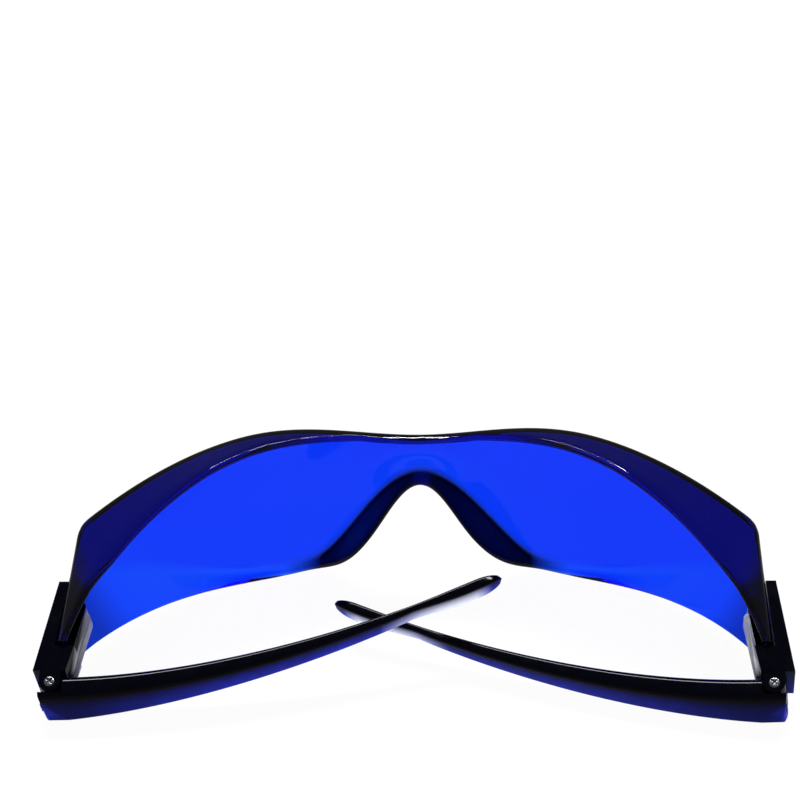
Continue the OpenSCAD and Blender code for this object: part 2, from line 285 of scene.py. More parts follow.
# The finishes
def new_material(name: str) -> tuple:
    """A material with an empty node tree, and the function that adds nodes to it."""
    material = bpy.data.materials.new(name)
    material.use_nodes = True
    material.node_tree.nodes.clear()
    return material, partial(add_node, material.node_tree)


# Shining through, it gives pure blue under a clear gloss, and painted shade in its base colour turns the
# shelf, the nose flange and the wing's end nearly black
@dataclass(frozen=True)
class TintedPolycarbonate:
    """Clear polycarbonate, moulded and dyed deep blue: red and green die out within a wall."""

    absorbed: tuple = (3.2, 1.75, 0.04)
    # The colour of the painted shade, mixed in by the painted shade share that the shield stores
    deep: str = "#010102"
    ior: float = 1.3
    sheen: float = 0.5
    flow_mm: float = 14.0
    flow_height_mm: float = 0.4
    haze_mm: float = 2.5
    haze_rough: float = 0.05

    def make(self) -> bpy.types.Material:
        """Builds the material, whose haze and flow waves are those of a moulding."""
        material, add = new_material("tinted_polycarbonate")
        place = add("ShaderNodeTexCoord").outputs["Object"]
        flow = add("ShaderNodeTexNoise", {"Vector": place, "Scale": 1 / (self.flow_mm * MM),
                                          "Detail": 1.0})
        haze = add("ShaderNodeTexNoise", {"Vector": place, "Scale": 1 / (self.haze_mm * MM),
                                          "Detail": 4.0})
        rough = add("ShaderNodeMapRange", {"Value": haze, "From Min": 0.35, "From Max": 0.75,
                                           "To Min": 0.0, "To Max": self.haze_rough})
        wave = add("ShaderNodeBump", {"Height": flow, "Strength": 0.05,
                                      "Distance": self.flow_height_mm * MM})
        # Painted shade: the base colour runs from white to the dark colour by the shield's painted shade
        # share
        depth = add("ShaderNodeAttribute", attribute_name="depth").outputs["Fac"]
        colour = add("ShaderNodeMix", {0: depth, 6: (1, 1, 1, 1), 7: linear(self.deep)}, data_type="RGBA")
        shader = add("ShaderNodeBsdfPrincipled", {
            "Base Color": colour.outputs[2], "Transmission Weight": 1.0, "IOR": self.ior,
            "Specular IOR Level": self.sheen, "Roughness": rough, "Normal": wave})
        # A little over the strongest, so that no part of the passed colour is 0
        density = max(self.absorbed) / MM * 1.02
        passed = tuple(1 - a / MM / density for a in self.absorbed) + (1.0,)
        volume = add("ShaderNodeVolumeAbsorption", {"Color": passed, "Density": density})
        add("ShaderNodeOutputMaterial", {"Surface": shader, "Volume": volume})
        return material


# It looks nearly black where it is deep, with painted glow in blue where light gathers in its edges, and a
# pale painted highlight where it is thin
@dataclass(frozen=True)
class DeepBlueNylon:
    """Thick clear nylon, moulded, in the same dye as the lens."""

    deep: str = "#000005"
    # The colour of the painted glow, and below it that of the painted highlight
    painted_glow_colour: str = "#2530c0"
    painted_highlight: str = "#f4f8ff"
    ior: float = 1.5
    sheen: float = 0.1
    cloud_mm: float = 3.0
    cloud_height_mm: float = 0.2

    def make(self) -> bpy.types.Material:
        """Builds the material, which reads from each piece where its painted glow and painted highlight go.
        """
        material, add = new_material("deep_blue_nylon")
        place = add("ShaderNodeTexCoord").outputs["Object"]
        cloud = add("ShaderNodeTexNoise", {"Vector": place, "Scale": 1 / (self.cloud_mm * MM),
                                           "Detail": 3.0})
        glow = add("ShaderNodeAttribute", attribute_name="glow").outputs["Fac"]
        painted_highlight = add("ShaderNodeAttribute", attribute_name="painted_highlight").outputs["Fac"]
        uneven = add("ShaderNodeMapRange", {"Value": cloud, "From Min": 0.3, "From Max": 0.7,
                                            "To Min": 0.8, "To Max": 1.15})
        share = add("ShaderNodeMath", {0: glow, 1: uneven}, operation="MULTIPLY", use_clamp=True)
        # Painted glow over the dark body colour, then the painted highlight over both
        body = add("ShaderNodeMix", {0: share, 6: linear(self.deep), 7: linear(self.painted_glow_colour)}, data_type="RGBA")
        colour = add("ShaderNodeMix", {0: painted_highlight, 6: body.outputs[2], 7: linear(self.painted_highlight)},
                     data_type="RGBA")
        rough = add("ShaderNodeMapRange", {"Value": cloud, "From Min": 0.3, "From Max": 0.8,
                                           "To Min": 0.06, "To Max": 0.16})
        wave = add("ShaderNodeBump", {"Height": cloud, "Strength": 0.08,
                                      "Distance": self.cloud_height_mm * MM})
        shader = add("ShaderNodeBsdfPrincipled", {
            "Base Color": colour.outputs[2], "Roughness": rough, "IOR": self.ior,
            "Specular IOR Level": self.sheen, "Normal": wave})
        add("ShaderNodeOutputMaterial", {"Surface": shader})
        return material


# It gives a small hard sparkle, broken up by its turning marks
@dataclass(frozen=True)
class NickelPlatedSteel:
    """Turned steel with bright nickel plating."""

    colour: str = "#77797f"
    # Real turning marks are finer: they are drawn as coarse as they need to show
    turning_mm: float = 0.12
    smoothest: float = 0.12
    roughest: float = 0.32

    def make(self) -> bpy.types.Material:
        """Builds the material."""
        material, add = new_material("nickel_plated_steel")
        place = add("ShaderNodeTexCoord").outputs["Object"]
        marks = add("ShaderNodeTexNoise", {"Vector": place, "Scale": 1 / (self.turning_mm * MM),
                                           "Detail": 2.0})
        rough = add("ShaderNodeMapRange", {"Value": marks, "To Min": self.smoothest,
                                           "To Max": self.roughest})
        shader = add("ShaderNodeBsdfPrincipled", {"Base Color": linear(self.colour), "Metallic": 1.0,
                                                  "Roughness": rough})
        add("ShaderNodeOutputMaterial", {"Surface": shader})
        return material


# It gives pure white with a trace of the glasses' shadow, and shows dimmer in what mirrors it
@dataclass(frozen=True)
class WhiteTable:
    """Matt white board under studio light."""

    shadow: float = 0.04
    mirrored: float = 0.3
    matt: float = 0.9

    def make(self) -> bpy.types.Material:
        """Builds the material."""
        material, add = new_material("white_table")
        ray = add("ShaderNodeLightPath").outputs
        straight = add("ShaderNodeMath", {0: ray["Is Camera Ray"], 1: ray["Is Transmission Ray"]},
                       operation="MAXIMUM")
        seen = add("ShaderNodeMath", {0: straight, 1: ray["Is Glossy Ray"]}, operation="MAXIMUM")
        share = add("ShaderNodeMath", {0: seen, 1: 1 - self.shadow}, operation="MULTIPLY")
        # A ray that shines straight through counts as glossy too
        bounced = add("ShaderNodeMath", {0: ray["Is Glossy Ray"], 1: ray["Is Transmission Ray"]},
                      operation="SUBTRACT")
        level = add("ShaderNodeMapRange", {"Value": bounced, "To Min": 1.0, "To Max": self.mirrored})
        board = add("ShaderNodeBsdfDiffuse", {"Color": (self.matt, self.matt, self.matt, 1)})
        plain = add("ShaderNodeEmission", {"Color": (1, 1, 1, 1), "Strength": level})
        both = add("ShaderNodeMixShader", {0: share, 1: board, 2: plain})
        add("ShaderNodeOutputMaterial", {"Surface": both})
        return material


# The front shield
@dataclass
class FrontShield:
    """The one-piece lens with its brow shelf, nose flange, cheek shelf and wings.

    It is a row of closed sections, one at each station, from 0 in the middle towards 1 at the hinge.
    Sizes are in millimetres.
    """

    hinge_x: float = 72.8
    front_reach: float = 56.0
    corner_x: float = 70.0
    corner_reach: float = 34.8
    brow_fullness: float = 2.4
    corner_run: float = 0.018
    brow_mid_z: float = 5.6
    brow_peak_z: float = 11.5
    brow_peak_x: float = 35.0
    brow_corner_z: float = 4.0
    shelf_rise: float = 3.8
    face_round: float = 1.7
    face_gap: float = 0.6
    wall: float = 1.6
    lens_lean: float = 0.28
    lens_low_z: float = -24.7
    lens_low_x: float = 32.0
    corner_low_z: float = -5.8
    foot_climb: float = 1.76
    lens_bulge: float = 0.5
    arch_top_z: float = -3.5
    arch_half: float = 27.0
    flange_mid: float = 2.6
    flange_deep: float = 8.8
    flange_deep_x: float = 11.8
    cheek_set: float = 7.4
    cheek_set_end: float = -0.4
    cheek_ease: float = 1.17
    cheek_from: float = 32.0
    cheek_to: float = 83.0
    cheek_drop: float = 0.9
    cheek_end_z: float = -9.0
    wing_inset: float = 0.2
    wing_end_y: float = 8.6
    tab_len: float = 11.4
    wing_top_z: float = 1.5
    wing_low_z: float = -7.0
    corner_s: float = 0.84
    lip_min: float = 1.2
    rise_run: float = 8.0
    brow_full: float = 0.35
    front_steps: int = 84
    corner_steps: int = 12
    wing_steps: int = 22
    bend_steps: int = 8
    lens_steps: int = 14
    face_inset: float = 0.1
    corner_pull: int = 4
    brow_fall: float = 1.7
    wing_crowd: float = 1.6
    turn_run: float = 3.0
    shelf_min: float = 1.1
    shelf_bend: float = 1.2
    foot_bend: float = 2.2
    tab_bend: float = 1.1
    wing_ease: float = 2.5
    rail: tuple = (0.0, 0.33, 0.66)
    cap_turns: tuple = (30, 60, 90, 120, 150)
    # How strong the painted shade is: on the shelf at the front and at the corner, on the wing above and
    # below
    shelf_shade: tuple = (0.9, 0.84)
    wing_shade: tuple = (0.97, 0.5)

    @property
    def face_half(self) -> float:
        """Half the width of the face opening."""
        return self.hinge_x - self.face_inset

    @property
    def face_reach(self) -> float:
        """How far the face opening reaches forward."""
        return self.front_reach - self.face_gap

    def face_y(self, s: float) -> float:
        """How far the edge of the face opening stands forward."""
        return self.face_reach * (1 - s ** self.face_round) ** (1 / self.face_round)

    def face_at(self, s: float) -> np.ndarray:
        """The edge of the face opening, seen from above."""
        return np.array([self.face_half * s, self.face_y(s)])

    def wing_share(self, s: float) -> float:
        """How far along the wing a station is, from the brow corner to the wing's end."""
        corner_y = self.face_y(self.corner_s)
        return (corner_y - self.face_y(s)) / (corner_y - self.wing_end_y)

    def brow_side(self, s: float) -> np.ndarray:
        """The straight wing's edge, seen from above."""
        start = np.array([self.corner_x, self.corner_reach])
        end = np.array([self.hinge_x - self.wing_inset, self.wing_end_y])
        return start + (end - start) * self.wing_share(s)

    def brow_raw(self, s: float) -> np.ndarray:
        """The brow edge, seen from above, with a sharp corner."""
        if s > self.corner_s:
            return self.brow_side(s)
        pull = (self.corner_x - self.face_half * self.corner_s) * (s / self.corner_s) ** self.corner_pull
        x = self.face_half * s + pull
        drop = (self.front_reach - self.corner_reach) * (x / self.corner_x) ** self.brow_fullness
        return np.array([x, self.front_reach - drop])

    def brow_at(self, s: float) -> np.ndarray:
        """The brow edge, seen from above, with its rounded corner."""
        a, b = self.corner_s - self.corner_run, self.corner_s + self.corner_run
        if abs(s - self.corner_s) >= self.corner_run:
            return self.brow_raw(s)
        corner = [self.brow_raw(a), self.brow_raw(self.corner_s), self.brow_raw(b)]
        return bezier(corner, (s - a) / (b - a))

    def brow_z(self, s: float) -> float:
        """The height of the brow edge."""
        x = self.brow_at(s)[0]
        if s > self.corner_s:
            return mix(self.brow_corner_z, self.wing_top_z, self.wing_share(s))
        if x < self.brow_peak_x:
            return mix(self.brow_mid_z, self.brow_peak_z, ease(x / self.brow_peak_x))
        share = clamp01((x - self.brow_peak_x) / (self.corner_x - self.brow_peak_x))
        return mix(self.brow_peak_z, self.brow_corner_z, share ** self.brow_fall)

    def tab_share(self, s: float) -> float:
        """How far along the run from the brow corner to the flat tab a station is."""
        if s <= self.corner_s:
            return 0.0
        tab_y = self.wing_end_y + self.tab_len
        return clamp01((self.corner_reach - self.brow_side(s)[1]) / (self.corner_reach - tab_y))

    def foot_z(self, s: float) -> float:
        """The height of the lens's foot."""
        x = self.brow_at(s)[0]
        if s > self.corner_s:
            return mix(self.corner_low_z, self.wing_low_z, self.tab_share(s))
        if x < self.lens_low_x:
            return mix(self.arch_top_z, self.lens_low_z, ease(x / self.arch_half))
        share = clamp01((x - self.lens_low_x) / (self.corner_x - self.lens_low_x))
        return mix(self.lens_low_z, self.corner_low_z, share ** self.foot_climb)

    def cheek_share(self, s: float) -> float:
        """How far round the face a station is, from the nose side to the wing."""
        p = self.face_at(s)
        turn = math.degrees(math.atan2(p[0], p[1]))
        return clamp01((turn - self.cheek_from) / (self.cheek_to - self.cheek_from)) ** self.cheek_ease

    def lip(self, s: float, shelf_depth: float, foot_depth: float) -> np.ndarray:
        """The end of the lip below the lens: the nose flange in the middle, the cheek shelf past it.

        Args:
            s: The station.
            shelf_depth: How deep the brow shelf is there.
            foot_depth: How deep the lens's foot lies there.

        Returns:
            The lip's end, as depth towards the face and height.
        """
        x, cheek = self.brow_at(s)[0], self.cheek_share(s)
        past = (x - self.flange_deep_x) / (self.arch_half - self.flange_deep_x)
        if x < self.flange_deep_x:
            reach = mix(self.flange_mid, self.flange_deep, ease(x / self.flange_deep_x))
        elif x < self.arch_half:
            reach = mix(self.flange_deep, self.lip_min, ease(past))
        else:
            step = mix(self.cheek_set, self.cheek_set_end, cheek)
            reach = max(self.lip_min, shelf_depth + step - foot_depth)
        z = self.foot_z(s) - self.cheek_drop * clamp01(past)
        if cheek > 0:
            z = mix(self.lens_low_z - self.cheek_drop, self.cheek_end_z, cheek)
        return np.array([foot_depth + reach - self.wall / 4, z])

    def section(self, s: float) -> list:
        """The shield's closed section at a station.

        Args:
            s: The station.

        Returns:
            Points as depth towards the face and height.
        """
        h = self.wall / 2
        reach = float(np.linalg.norm(self.face_at(s) - self.brow_at(s)))
        top_z, low_z, tab = self.brow_z(s), self.foot_z(s), self.tab_share(s)
        shelf_depth = max(reach, h + self.shelf_min)
        foot_depth = self.lens_lean * (1 - tab) * (top_z - low_z) + self.wall
        full = self.brow_full * (1 - clamp01(self.wing_ease * self.wing_share(s)))
        top = np.array([h - full, top_z - h + full])
        shelf = np.array([shelf_depth, top_z + self.shelf_rise * min(1, reach / self.rise_run) - h])
        foot = np.array([foot_depth - h, low_z - h])
        end = self.lip(s, shelf_depth, foot_depth)
        upper = self.bend(shelf, top, foot, self.shelf_bend)
        lower = self.bend(end, foot, top, mix(self.foot_bend, self.tab_bend, tab))
        a, b, bulge = upper[-1], lower[-1], self.lens_bulge * (1 - tab)
        wall = [a + (b - a) * t - np.array([bulge * math.sin(math.pi * t), 0])
                for t in (i / self.lens_steps for i in range(1, self.lens_steps))]
        rail = [shelf + (upper[0] - shelf) * t for t in self.rail]
        tail = [end + (lower[0] - end) * t for t in self.rail[::-1]]
        return self.thicken(rail + upper + wall + lower[::-1] + tail)

    def depth(self, s: float) -> np.ndarray:
        """How much painted shade lies round a station's outline.

        Args:
            s: The station.

        Returns:
            A share for each point of the outline. The shelf gets painted shade, the lens stays clear,
            and the nose flange gets the darkest painted shade.
        """
        x, y = self.brow_at(s)
        count = 2 * len(self.rail) + 2 * (self.bend_steps + 1) + self.lens_steps - 1
        t = np.arange(count)
        # The shelf's painted shade ends within its bend, and the flange's starts within the foot's bend.
        # All three fade along the front: the shelf towards the corner, the flange past the arch's foot,
        # and the wing from its front end
        shelf_end = len(self.rail) + 0.5 * self.bend_steps
        flange_start = count - len(self.rail) - 1.1 * self.bend_steps
        shelf = np.clip((shelf_end + 1 - t) / 2, 0, 1) * mix(*self.shelf_shade, clamp01((x - 30) / 35))
        flange = np.clip((t - flange_start) / 4, 0, 1) * clamp01((self.arch_half + 5 - x) / 9)
        wing = clamp01((34 - y) / 10) * np.where(t < count * 0.55, *self.wing_shade)
        line = np.maximum(np.maximum(shelf, flange), wing)
        cap = np.ones(len(self.cap_turns))
        return np.concatenate([line, cap * line[-1], line[::-1], cap * line[0]])

    def bend(self, p: np.ndarray, q: np.ndarray, r: np.ndarray, reach: float) -> list:
        """A rounded bend at q between the lines to p and r, which starts at most reach away."""
        a = min(reach, 0.9 * float(np.linalg.norm(p - q)))
        b = min(reach, 0.45 * float(np.linalg.norm(r - q)))
        ends = [q + a * unit(p - q), q, q + b * unit(r - q)]
        return [bezier(ends, i / self.bend_steps) for i in range(self.bend_steps + 1)]

    def thicken(self, line: list) -> list:
        """Gives a middle line its two sides and rounded ends.

        Args:
            line: The middle line's points.

        Returns:
            The closed outline.
        """
        h, last = self.wall / 2, len(line) - 1
        away = [unit(line[min(i + 1, last)] - line[max(i - 1, 0)]) for i in range(last + 1)]
        side = [np.array([v[1], -v[0]]) * h for v in away]
        near, far = [p + q for p, q in zip(line, side)], [p - q for p, q in zip(line, side)]
        turns = np.radians(self.cap_turns)
        end = [line[-1] + side[-1] * math.cos(a) + away[-1] * h / 2 * math.sin(a) for a in turns]
        start = [line[0] - side[0] * math.cos(a) - away[0] * h / 2 * math.sin(a) for a in turns]
        return near + end + far[::-1] + start

    def ring(self, s: float, side: int) -> np.ndarray:
        """A station's section in its place, on one side."""
        brow = self.brow_at(s)
        across = self.face_at(s) - brow
        n = float(np.linalg.norm(across))
        # Near the middle, where the shelf is shallow, the section turns to point straight back
        w = min(1.0, n / self.turn_run) if s < 0.5 else 1.0
        away = unit(across / n * w + np.array([0, -1.0]) * (1 - w))
        return np.array([(side * (brow[0] + away[0] * d), brow[1] + away[1] * d, z)
                         for d, z in self.section(s)])

    def build(self, material: bpy.types.Material) -> bpy.types.Object:
        """Builds the shield.

        Args:
            material: Its finish.

        Returns:
            The piece.
        """
        a, b = self.corner_s - self.corner_run, self.corner_s + self.corner_run
        end = (1 - (self.wing_end_y / self.face_reach) ** self.face_round) ** (1 / self.face_round)
        stations = [a * i / self.front_steps for i in range(self.front_steps)]
        stations += [mix(a, b, i / self.corner_steps) for i in range(self.corner_steps)]
        # The wing's stations crowd towards its end
        stations += [mix(b, end, 1 - (1 - i / self.wing_steps) ** self.wing_crowd)
                     for i in range(self.wing_steps + 1)]
        rings = [self.ring(s, -1) for s in stations[:0:-1]] + [self.ring(s, 1) for s in stations]
        points, faces = skin(rings)
        obj = make_object("blue_shield", on_table(points), faces)
        # Painted shade for each point, which the lens's material reads
        store(obj, "depth", np.concatenate([self.depth(s) for s in stations[:0:-1] + stations]))
        obj.data.polygons.foreach_set("use_smooth", [True] * len(obj.data.polygons))
        obj.data.materials.append(material)
        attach(obj, "front")
        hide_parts("front_shield")
        return obj


# The temple's arm
def sweep_tree() -> bpy.types.NodeTree:
    """The node group that sweeps an outline along a curved path.

    Each ring takes its thickness and height from how far ahead of the hinge it is. The first ring
    is moved back to the butt, and the last ones close round the tip.

    Returns:
        The node group.
    """
    tree = bpy.data.node_groups.new("temple_sweep", "GeometryNodeTree")
    add = partial(add_node, tree)
    sockets = {
        "Geometry": ("Geometry",), "Vector": ("Start", "Start Handle", "End Handle", "End"),
        "Int": ("Steps",), "Material": ("Material",),
        "Float": ("Root Thickness", "Neck Thickness", "Paddle Thickness", "Root Height", "Neck Height",
                  "Paddle Height", "Neck Distance", "Paddle Distance", "Swell", "Lean", "Butt", "Tip From")}
    for kind, names in sockets.items():
        for name in names:
            tree.interface.new_socket(name, in_out="INPUT", socket_type=f"NodeSocket{kind}")
    tree.interface.new_socket("Geometry", in_out="OUTPUT", socket_type="NodeSocketGeometry")
    given = add("NodeGroupInput").outputs

    # The path, which keeps a place, a direction, a distance and a number for each ring
    line = add("GeometryNodeCurvePrimitiveBezierSegment", {
        "Resolution": given["Steps"], "Start": given["Start"], "Start Handle": given["Start Handle"],
        "End Handle": given["End Handle"], "End": given["End"]})
    line = add("GeometryNodeResampleCurve", {"Curve": line}, mode="EVALUATED")
    place, index = add("GeometryNodeInputPosition"), add("GeometryNodeInputIndex")
    first = add("FunctionNodeCompare", {2: index, 3: 0}, data_type="INT", operation="EQUAL")
    back = add("ShaderNodeMath", {0: first, 1: given["Butt"]}, operation="MULTIPLY")
    moved = add("ShaderNodeVectorMath", {0: back, 1: (-1, 0, 0), 2: place}, operation="MULTIPLY_ADD")
    kept = {"place": ("FLOAT_VECTOR", moved), "step": ("INT", index),
            "way": ("FLOAT_VECTOR", add("GeometryNodeInputTangent")),
            "ahead": ("FLOAT", add("ShaderNodeSeparateXYZ", {0: place}))}
    for name, (kind, value) in kept.items():
        line = add("GeometryNodeStoreNamedAttribute", {"Geometry": line, "Name": name, "Value": value},
                   data_type=kind, domain="POINT")
    outline = add("GeometryNodeMeshToCurve", {"Mesh": given["Geometry"]})
    mesh = add("GeometryNodeCurveToMesh", {"Curve": line, "Profile Curve": outline, "Fill Caps": True})
    kinds = {name: kind for name, (kind, value) in kept.items()}
    kinds |= {"reach": "FLOAT_VECTOR", "rise": "FLOAT_VECTOR"}
    named = {name: add("GeometryNodeInputNamedAttribute", {"Name": name}, data_type=kind)
             for name, kind in kinds.items()}

    # Thickness and height: a taper from the root to the neck, then a spread into the paddle
    taper = add("ShaderNodeMapRange", {0: named["ahead"], 2: given["Neck Distance"], 3: 1.0, 4: 0.0})
    spread = add("ShaderNodeMapRange", {0: named["ahead"], 1: given["Neck Distance"],
                                        2: given["Paddle Distance"]}, interpolation_type="SMOOTHSTEP")
    swell = add("ShaderNodeMath", {0: taper, 1: given["Swell"]}, operation="POWER")
    sizes = []
    for size, share in (("Thickness", swell), ("Height", taper)):
        neck, paddle = given[f"Neck {size}"], given[f"Paddle {size}"]
        tapered = add("ShaderNodeMapRange", {0: share, 3: neck, 4: given[f"Root {size}"]})
        gain = add("ShaderNodeMath", {0: paddle, 1: neck}, operation="SUBTRACT")
        sizes.append(add("ShaderNodeMath", {0: spread, 1: gain, 2: tapered}, operation="MULTIPLY_ADD"))

    # The tip closes along a quarter circle, and keeps a little at its end
    share = add("ShaderNodeMath", {0: named["step"], 1: given["Steps"]}, operation="DIVIDE")
    tip = add("ShaderNodeMapRange", {0: share, 1: given["Tip From"]})
    closed = add("ShaderNodeMath", {0: tip, 1: tip}, operation="MULTIPLY")
    opened = add("ShaderNodeMath", {0: 1.0, 1: closed}, operation="SUBTRACT")
    held = add("ShaderNodeMath", {0: opened, 1: 0.0004}, operation="MAXIMUM")
    full = add("ShaderNodeMath", {0: held}, operation="SQRT")
    thin, low = [add("ShaderNodeMath", {0: size, 1: full}, operation="MULTIPLY") for size in sizes]

    # The corner radius follows the smaller size, and the outer face leans less and less
    corners = [add("ShaderNodeMath", {0: size, 1: part}, operation="MULTIPLY")
               for size, part in ((thin, 0.32), (low, 0.28))]
    radius = add("ShaderNodeMath", {0: corners[0], 1: corners[1]}, operation="MINIMUM")
    fade = add("ShaderNodeMath", {0: taper, 1: taper}, operation="MULTIPLY")
    lean = add("ShaderNodeMath", {0: given["Lean"], 1: full}, operation="MULTIPLY")
    lean = add("ShaderNodeMath", {0: lean, 1: fade}, operation="MULTIPLY")

    # Each point goes across the path and up by its shares of these sizes
    widths = add("ShaderNodeCombineXYZ", {0: radius, 1: thin, 2: lean})
    heights = add("ShaderNodeCombineXYZ", {0: radius, 1: low})
    across, up = [add("ShaderNodeVectorMath", {0: named[name], 1: by}, operation="DOT_PRODUCT")
                  .outputs["Value"] for name, by in (("reach", widths), ("rise", heights))]
    spare = add("ShaderNodeMath", {0: sizes[0], 1: thin}, operation="SUBTRACT")
    across = add("ShaderNodeMath", {0: spare, 1: 0.5, 2: across}, operation="MULTIPLY_ADD")
    aside = add("ShaderNodeVectorMath", {0: named["way"], 1: (0, 0, 1)}, operation="CROSS_PRODUCT")
    there = add("ShaderNodeVectorMath", {0: aside, 1: across, 2: named["place"]}, operation="MULTIPLY_ADD")
    there = add("ShaderNodeVectorMath", {0: up, 1: (0, 0, 1), 2: there}, operation="MULTIPLY_ADD")
    put = add("GeometryNodeSetPosition", {"Geometry": mesh, "Position": there})
    real = add("GeometryNodeRealizeInstances", {"Geometry": put})
    done = add("GeometryNodeSetMaterial", {"Geometry": real, "Material": given["Material"]})
    add("NodeGroupOutput", {0: done})
    return tree


# The hinges, end pieces and temples
@dataclass
class HingeSide:
    """What the end piece, screw and temple of one side share. Sizes are in millimetres."""

    side: Side = Side.LEFT
    hinge_x: float = 72.8
    block_h: float = 9.2
    block_top_z: float = 0.6
    left_lean: float = -1.6
    right_lean: float = 5.0
    lug_r: float = 2.2
    butt_len: float = 2.25
    stop_gap: float = 0.2
    outer_off: float = 3.7
    outer_lean: float = 1.3
    head_r: float = 1.18
    head_h: float = 0.8
    screw_r: float = 0.7
    inner_off: float = 2.9
    screw_fit: float = 0.06
    head_proud: float = 0.15

    @property
    def head_z(self) -> float:
        """The underside of the screw's head, from the hinge's middle."""
        return self.block_h / 2 - self.head_h + self.head_proud

    def upright(self, points: np.ndarray) -> np.ndarray:
        """Places points of the left-hand drawing on this side of the glasses."""
        out = points.copy()
        if self.side is Side.RIGHT:
            out[:, 0] = -out[:, 0]
        return on_table(out)

    def to_hinge(self, points: np.ndarray) -> np.ndarray:
        """Takes points drawn about the hinge axis to the left-hand drawing."""
        a = math.radians(self.left_lean if self.side is Side.LEFT else self.right_lean)
        x, y, z = points[:, 0], points[:, 1], points[:, 2]
        return np.stack([x * math.cos(a) + z * math.sin(a) - self.hinge_x, y,
                         z * math.cos(a) - x * math.sin(a) + self.block_top_z - self.block_h / 2], 1)

    def finish(self, obj: bpy.types.Object, name: str, material: bpy.types.Material, body: str,
               node: str, slot: str, smooth: bool = True) -> None:
        """Dresses a finished piece, and ties it to its body and node.

        Args:
            obj: The piece, drawn in its place.
            name: What it is called, after its side.
            material: Its finish.
            body: The CAD body that it rides on.
            node: The CAD node that it stands for, after its side.
            slot: Not used.
            smooth: Whether its round faces are shaded smooth.
        """
        obj.name = f"{self.side.word}_{name}"
        obj.data.polygons.foreach_set("use_smooth", [smooth] * len(obj.data.polygons))
        if smooth:
            obj.data.set_sharp_from_angle(angle=math.radians(38))
            mod = obj.modifiers.new("flat", "WEIGHTED_NORMAL")
            mod.keep_sharp, mod.weight = True, 90
            settle(obj)
        obj.data.materials.clear()
        obj.data.materials.append(material)
        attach(obj, body)
        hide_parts(f"{self.side.word}_{node}")


